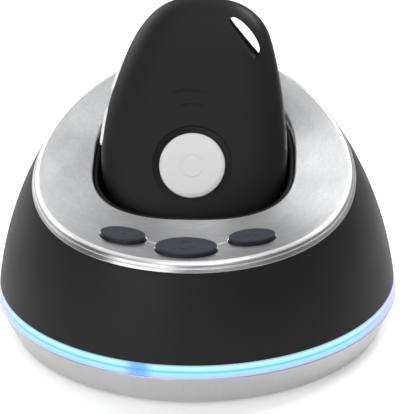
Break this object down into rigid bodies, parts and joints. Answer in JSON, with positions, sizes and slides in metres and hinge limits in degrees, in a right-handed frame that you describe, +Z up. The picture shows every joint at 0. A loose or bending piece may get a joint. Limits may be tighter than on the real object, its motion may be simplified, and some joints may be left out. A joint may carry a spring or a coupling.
{
  "type": "personal alarm pendant on its charging station",
  "caption": "Pebble-shaped emergency call pendant with a round white button, leaning in the pocket of a round black station with a metal top, a light ring and call buttons.",
  "frame": {"origin": "on the table under the centre of the round station, at the bottom of its rubber feet", "axes": "+Z up, -Y towards the front with the call buttons, +X to the right as seen from the front"},
  "size_m": [0.0978, 0.0978, 0.0777],
  "materials": {
    "base_metal": "satin brushed",
    "cover_black": "fine texture",
    "foot_rubber": "matt",
    "weight_steel": "plain",
    "light_guide": "translucent, lit",
    "lamp_board": "solder mask",
    "lamps": "clear lens",
    "dome_black": "soft satin",
    "top_metal": "satin brushed",
    "pocket_black": "matt",
    "pad_rubber": "matt",
    "contact_plastic": "matt",
    "contact_brass": "gold plated",
    "button_blue": "satin",
    "trim_bright": "polished",
    "silicone": "matt",
    "board_green": "solder mask",
    "switch_metal": "plain",
    "chip_black": "matt",
    "shield_metal": "tinned",
    "microphone_metal": "plated",
    "inlet_black": "moulded",
    "screw_steel": "plated",
    "speaker_steel": "zinc",
    "speaker_paper": "paper",
    "pendant_black": "soft satin",
    "seal_rubber": "matt",
    "button_white": "satin",
    "key_white": "satin",
    "battery_foil": "foil",
    "ceramic": "ceramic",
    "flex_copper": "lacquered"
  },
  "bodies": {
    "station": {"base_ring": "base_metal", "bottom_cover": "cover_black", "rubber_feet": "foot_rubber", "ballast_plate": "weight_steel", "light_guide": "light_guide", "led_board": "lamp_board", "ring_leds": "lamps", "body_shell": "dome_black", "top_plate": "top_metal", "pocket_liner": "pocket_black", "rest_pads": "pad_rubber", "charge_block": "contact_plastic", "charge_barrels": "contact_brass", "button_trim": "trim_bright", "button_mat": "silicone", "button_board": "board_green", "button_switches": "switch_metal", "main_board": "board_green", "main_chips": "chip_black", "board_shield": "shield_metal", "station_microphone": "microphone_metal", "power_inlet": "inlet_black", "inlet_pin": "contact_brass", "inlet_nut": "screw_steel", "speaker_frame": "speaker_steel", "speaker_cone": "speaker_paper", "speaker_magnet": "speaker_steel", "bottom_screws": "screw_steel", "board_screws": "screw_steel", "plate_screws": "screw_steel", "keypad_screws": "screw_steel"},
    "pendant": {"pendant_front": "pendant_black", "pendant_rear": "pendant_black", "pendant_seal": "seal_rubber", "sos_membrane": "silicone", "sos_switch": "switch_metal", "side_switches": "switch_metal", "pendant_board": "board_green", "pendant_shield": "shield_metal", "pendant_battery": "battery_foil", "gps_antenna": "ceramic", "cell_antenna": "flex_copper", "pendant_speaker": "speaker_paper", "pendant_microphone": "microphone_metal", "vibration_motor": "speaker_steel", "sim_holder": "shield_metal", "contact_pads": "contact_brass", "pendant_screws": "screw_steel"},
    "sos_button": {"sos_button": "button_white"},
    "call_key_upper": {"call_key_upper": "key_white"},
    "call_key_lower": {"call_key_lower": "key_white"},
    "button_left": {"button_left": "button_blue"},
    "button_center": {"button_center": "button_blue"},
    "button_right": {"button_right": "button_blue"},
    "charge_pin_left": {"charge_pin_left": "contact_brass"},
    "charge_pin_right": {"charge_pin_right": "contact_brass"}
  },
  "joints": [
    {"name": "pendant_lift", "type": "slide", "parent": "station", "child": "pendant", "axis": [0, 0.5592, 0.829], "range_m": [0, 0.06]},
    {"name": "sos_press", "type": "slide", "parent": "pendant", "child": "sos_button", "axis": [0, 0.829, -0.5592], "range_m": [0, 0.0004], "stiffness_N_per_m": 600},
    {"name": "upper_key_press", "type": "slide", "parent": "pendant", "child": "call_key_upper", "axis": [0.9588, -0.1588, -0.2355], "range_m": [0, 0.0003], "stiffness_N_per_m": 600},
    {"name": "lower_key_press", "type": "slide", "parent": "pendant", "child": "call_key_lower", "axis": [0.989, -0.0827, -0.1225], "range_m": [0, 0.0003], "stiffness_N_per_m": 600},
    {"name": "left_button_press", "type": "slide", "parent": "station", "child": "button_left", "axis": [0, 0.1861, -0.9825], "range_m": [0, 0.0008], "stiffness_N_per_m": 500},
    {"name": "center_button_press", "type": "slide", "parent": "station", "child": "button_center", "axis": [0, 0.1541, -0.9881], "range_m": [0, 0.0008], "stiffness_N_per_m": 500},
    {"name": "right_button_press", "type": "slide", "parent": "station", "child": "button_right", "axis": [0, 0.1861, -0.9825], "range_m": [0, 0.0008], "stiffness_N_per_m": 500},
    {"name": "left_pin_slide", "type": "slide", "parent": "station", "child": "charge_pin_left", "axis": [0, 0.5592, 0.829], "range_m": [-0.0006, 0], "stiffness_N_per_m": 300},
    {"name": "right_pin_slide", "type": "slide", "parent": "station", "child": "charge_pin_right", "axis": [0, 0.5592, 0.829], "range_m": [-0.0006, 0], "stiffness_N_per_m": 300}
  ]
}
